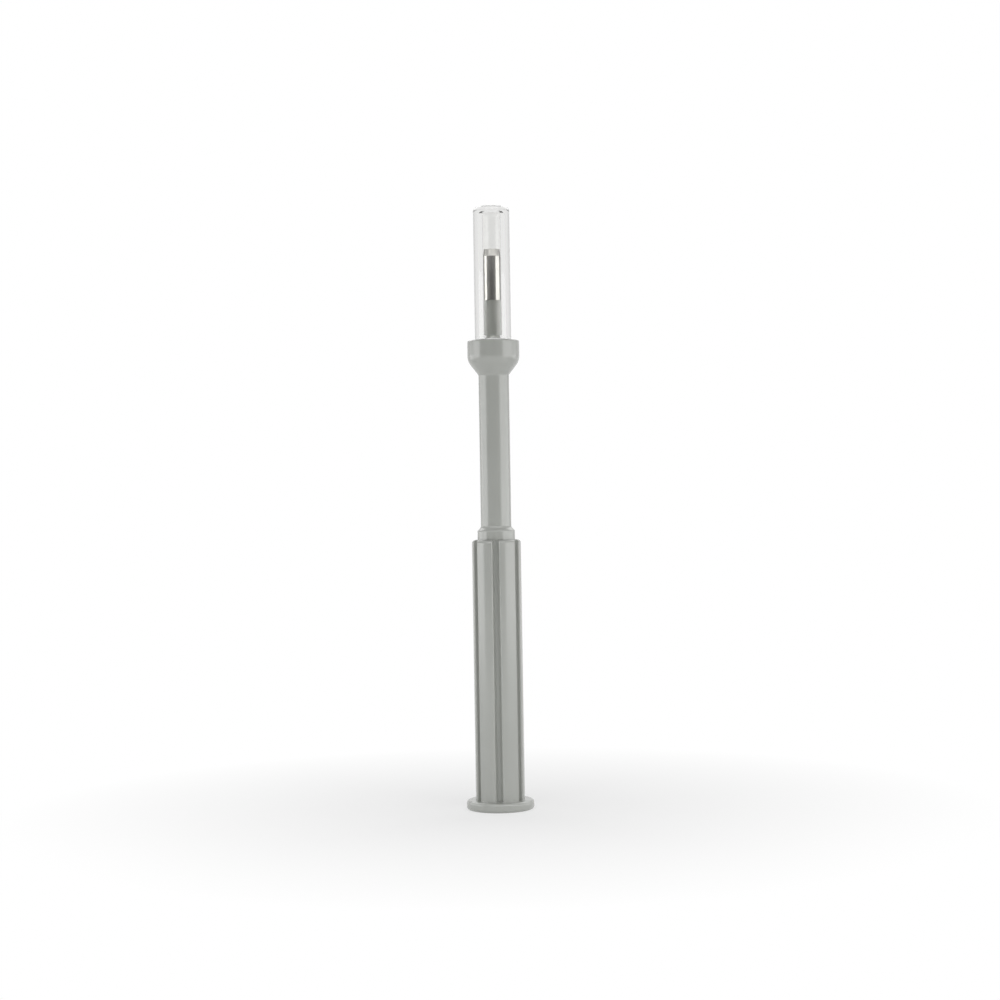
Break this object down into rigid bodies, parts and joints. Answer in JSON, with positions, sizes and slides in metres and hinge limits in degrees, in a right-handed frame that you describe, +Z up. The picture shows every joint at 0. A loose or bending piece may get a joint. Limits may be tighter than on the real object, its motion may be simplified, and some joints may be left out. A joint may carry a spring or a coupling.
{
  "type": "biopsy punch",
  "caption": "Disposable skin biopsy punch: ribbed one-piece plastic handle with end flange and bell-shaped guard, bevelled steel cutting tube and clear pull-off tip cap.",
  "frame": {"origin": "centre of the flat end face of the flange, on which the punch stands", "axes": "+Z up along the punch's axis, from the end flange to the cutting edge and the cap; -Y towards the front groove of the grip"},
  "size_m": [0.0136, 0.0136, 0.1203],
  "materials": {
    "grey_plastic": "satin moulded",
    "stainless_steel": "polished",
    "clear_plastic": "clear"
  },
  "bodies": {
    "punch": {"handle": "grey_plastic", "cutting_tube": "stainless_steel"},
    "cap": {"tip_cap": "clear_plastic"}
  },
  "joints": [
    {"name": "cap_pull", "type": "slide", "parent": "punch", "child": "cap", "axis": [0, 0, 1], "range_m": [0, 0.04]}
  ]
}
